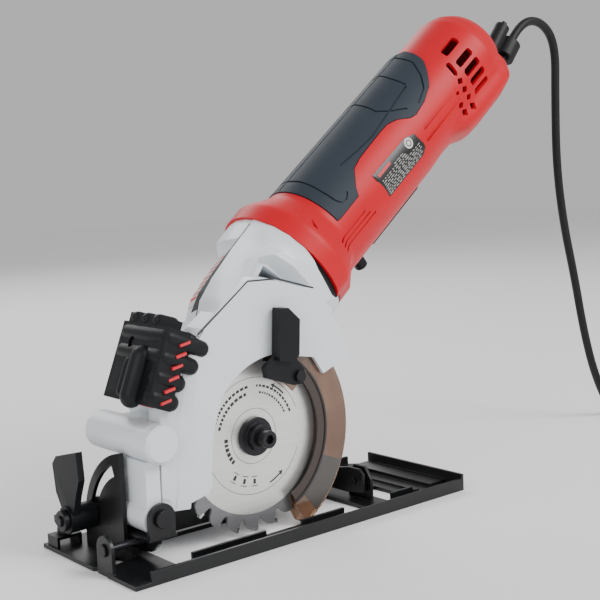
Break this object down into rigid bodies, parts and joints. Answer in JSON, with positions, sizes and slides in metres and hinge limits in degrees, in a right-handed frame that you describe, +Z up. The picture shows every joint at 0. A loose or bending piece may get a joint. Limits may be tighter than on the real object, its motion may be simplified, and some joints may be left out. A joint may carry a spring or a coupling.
{
  "type": "circular saw",
  "caption": "Compact corded circular saw with an in-line motor handle, a tilting sole plate, a swinging lower guard and a laser line case.",
  "frame": {"origin": "middle of the sole's rectangle, on its underside", "axes": "+X towards the handle's end, -Y towards the blade's side, +Z up from the sole"},
  "size_m": [0.6057, 0.1809, 0.3246],
  "materials": {
    "red_shell": "glossy",
    "grip_rubber": "matte",
    "black_plastic": "satin",
    "white_casting": "satin",
    "smoked_guard": "glossy",
    "blade_steel": "satin",
    "base_black": "satin",
    "rail_steel": "satin",
    "zinc_screws": "satin",
    "black_screws": "satin",
    "label_print": "glossy",
    "cord_rubber": "satin",
    "core_steel": "satin",
    "copper_bars": "satin",
    "bearing_steel": "polished",
    "lens_red": "glossy"
  },
  "bodies": {
    "base": {"base_plate": "base_black", "bevel_quadrant": "rail_steel", "bevel_pins": "zinc_screws", "guide_strap": "base_black"},
    "bevel_frame": {"bevel_bracket": "base_black", "side_rail": "base_black", "depth_arc": "rail_steel", "pivot_bolt": "zinc_screws", "clamp_bolt": "zinc_screws", "bracket_nuts": "zinc_screws", "plunge_spring": "zinc_screws"},
    "clamp_lever": {"clamp_lever": "black_plastic"},
    "guide_screw": {"guide_screw": "zinc_screws"},
    "head": {"front_arm": "white_casting", "gear_housing": "white_casting", "upper_guard": "white_casting", "laser_case": "black_plastic", "laser_lens": "lens_red", "laser_screw": "black_screws", "motor_housing_near": "red_shell", "motor_housing_far": "red_shell", "soft_grip": "grip_rubber", "spacer_ring": "black_plastic", "rating_label": "label_print", "strain_relief": "cord_rubber", "key_holder": "cord_rubber", "hex_key": "black_screws", "stator": "core_steel", "brush_holders": "copper_bars", "carbon_brushes": "black_plastic", "switch_module": "black_plastic", "cord_clamp": "black_plastic", "bearings": "bearing_steel", "depth_lock_bolt": "zinc_screws", "guard_spring": "zinc_screws", "power_cord": "cord_rubber", "cord_coil": "cord_rubber", "cord_tail": "cord_rubber", "plug": "cord_rubber"},
    "depth_lock_lever": {"depth_lock_lever": "black_plastic"},
    "trigger": {"trigger": "black_plastic"},
    "lock_off_button": {"lock_off_button": "black_plastic"},
    "armature": {"armature_shaft": "bearing_steel", "armature_core": "core_steel", "commutator": "copper_bars", "cooling_fan": "black_plastic", "bevel_pinion": "bearing_steel"},
    "layshaft": {"layshaft": "bearing_steel", "layshaft_gear": "bearing_steel", "crown_gear": "bearing_steel"},
    "spindle": {"spindle": "bearing_steel", "spindle_gear": "bearing_steel", "inner_flange": "zinc_screws", "saw_blade": "blade_steel", "outer_flange": "zinc_screws", "blade_bolt": "zinc_screws"},
    "lower_guard": {"lower_guard": "smoked_guard", "guard_lever": "black_plastic", "guard_lever_screw": "black_screws"}
  },
  "joints": [
    {"name": "bevel_tilt", "type": "hinge", "parent": "base", "child": "bevel_frame", "pos_m": [-0.1, -0.019, 0.0145], "axis": [1, 0, 0], "range_deg": [0, 45]},
    {"name": "clamp_lever_turn", "type": "hinge", "parent": "bevel_frame", "child": "clamp_lever", "pos_m": [-0.12, 0.021, 0.023], "axis": [1, 0, 0], "range_deg": [0, 60]},
    {"name": "guide_screw_turn", "type": "hinge", "parent": "base", "child": "guide_screw", "pos_m": [-0.118, 0.041, 0.01], "axis": [0, 0, 1], "range_deg": [0, 180]},
    {"name": "plunge", "type": "hinge", "parent": "bevel_frame", "child": "head", "pos_m": [-0.097, -0.0146, 0.0282], "axis": [0, 1, 0], "range_deg": [0, 24], "stiffness_Nm_per_rad": 5, "springref_deg": -63.03},
    {"name": "depth_lock_turn", "type": "hinge", "parent": "head", "child": "depth_lock_lever", "pos_m": [-0.01646, 0.038, 0.0747], "axis": [0, 1, 0], "range_deg": [0, 60]},
    {"name": "armature_spin", "type": "hinge", "parent": "head", "child": "armature", "pos_m": [0.0531, 0.009, 0.1736], "axis": [0.7749, 0, 0.632], "continuous": true},
    {"name": "layshaft_spin", "type": "hinge", "parent": "head", "child": "layshaft", "pos_m": [-0.05012, 0.009, 0.08941], "axis": [0, 1, 0], "continuous": true},
    {"name": "spindle_spin", "type": "hinge", "parent": "head", "child": "spindle", "pos_m": [-0.0267, -0.025, 0.0607], "axis": [0, 1, 0], "continuous": true},
    {"name": "lower_guard_swing", "type": "hinge", "parent": "head", "child": "lower_guard", "pos_m": [-0.0267, -0.025, 0.0607], "axis": [0, 1, 0], "range_deg": [0, 90], "stiffness_Nm_per_rad": 0.01, "springref_deg": 171.89},
    {"name": "trigger_press", "type": "hinge", "parent": "head", "child": "trigger", "pos_m": [0.09706, 0.009, 0.16558], "axis": [0, -1, 0], "range_deg": [0, 4], "stiffness_Nm_per_rad": 0.5, "springref_deg": -17.19},
    {"name": "lock_off_press", "type": "slide", "parent": "head", "child": "lock_off_button", "axis": [-0.632, 0, 0.7749], "range_m": [0, 0.003], "stiffness_N_per_m": 200, "springref_m": -0.005}
  ],
  "couplings": [
    {"joint": "layshaft_spin", "follows": "armature_spin", "ratio": 0.33333},
    {"joint": "spindle_spin", "follows": "armature_spin", "ratio": -0.26829}
  ]
}
